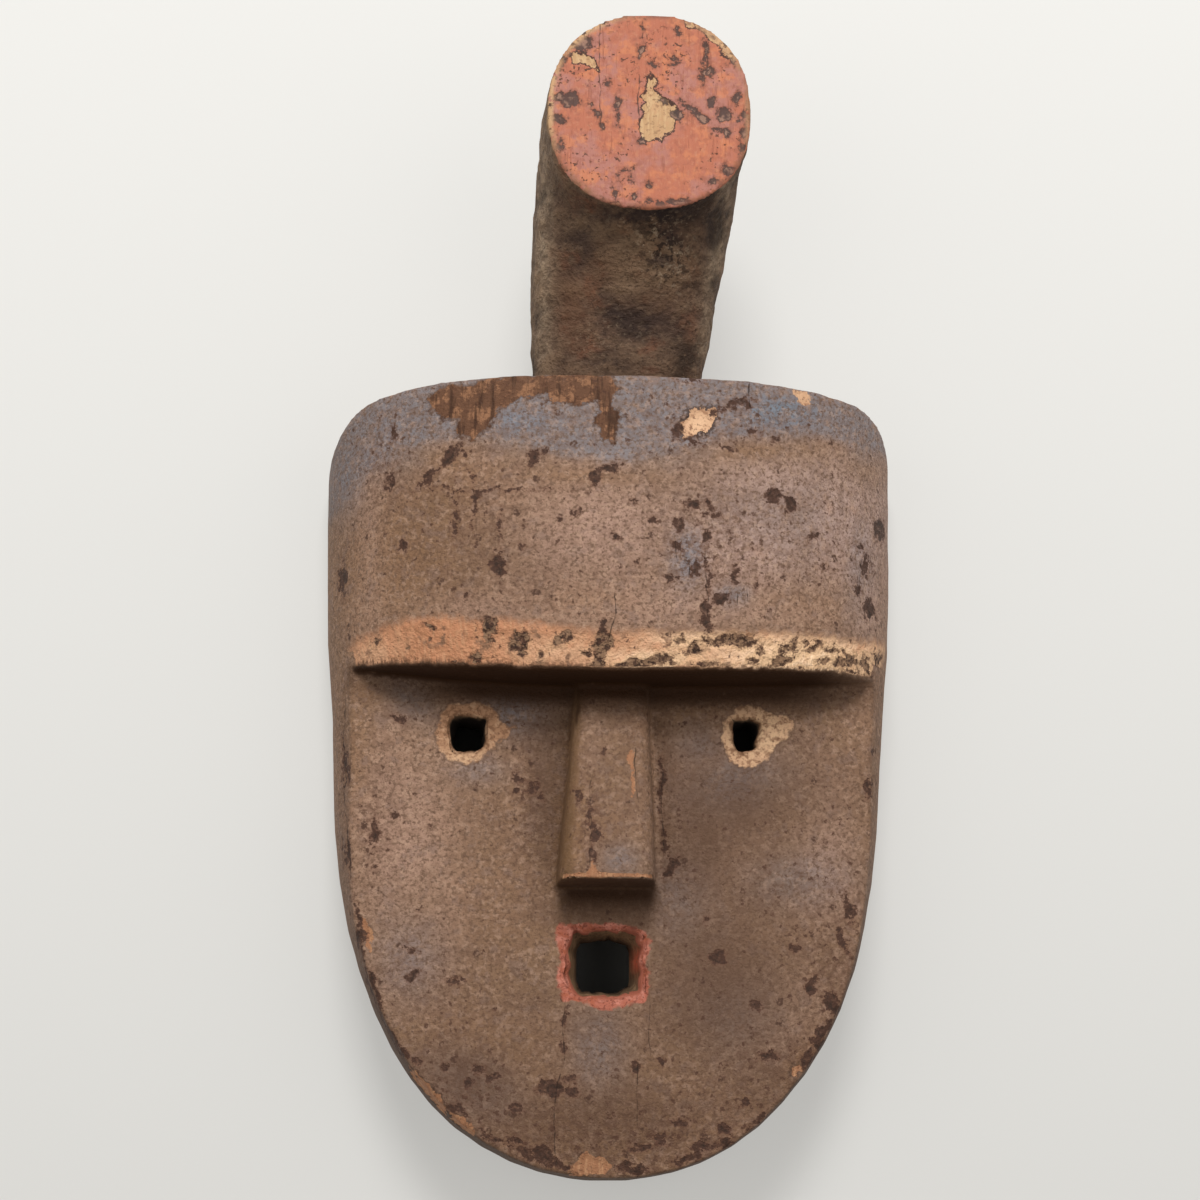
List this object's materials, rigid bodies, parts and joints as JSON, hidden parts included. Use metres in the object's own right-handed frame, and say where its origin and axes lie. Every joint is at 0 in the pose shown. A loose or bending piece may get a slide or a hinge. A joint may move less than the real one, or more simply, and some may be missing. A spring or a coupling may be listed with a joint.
{
  "type": "ceremonial mask",
  "caption": "Carved wooden face mask with a brow ledge, long nose, square eye and mouth holes, a hollowed back and a thick post bending forward from its flat top.",
  "frame": {"origin": "middle of the mask's length and width, on the plane of its flat back rim", "axes": "+Y along the mask from the chin towards the post, +Z out of the face, +X to the viewer's right; the mask lies on its back rim with the face up"},
  "size_m": [0.2229, 0.432, 0.098],
  "materials": {
    "worn_painted_wood": "old matte brown paint over bare wood, a blue-grey band on the forehead, red on the post's end and around the mouth, chipped and cracked"
  },
  "bodies": {
    "root": {"carved_mask": "worn_painted_wood"}
  },
  "joints": []
}
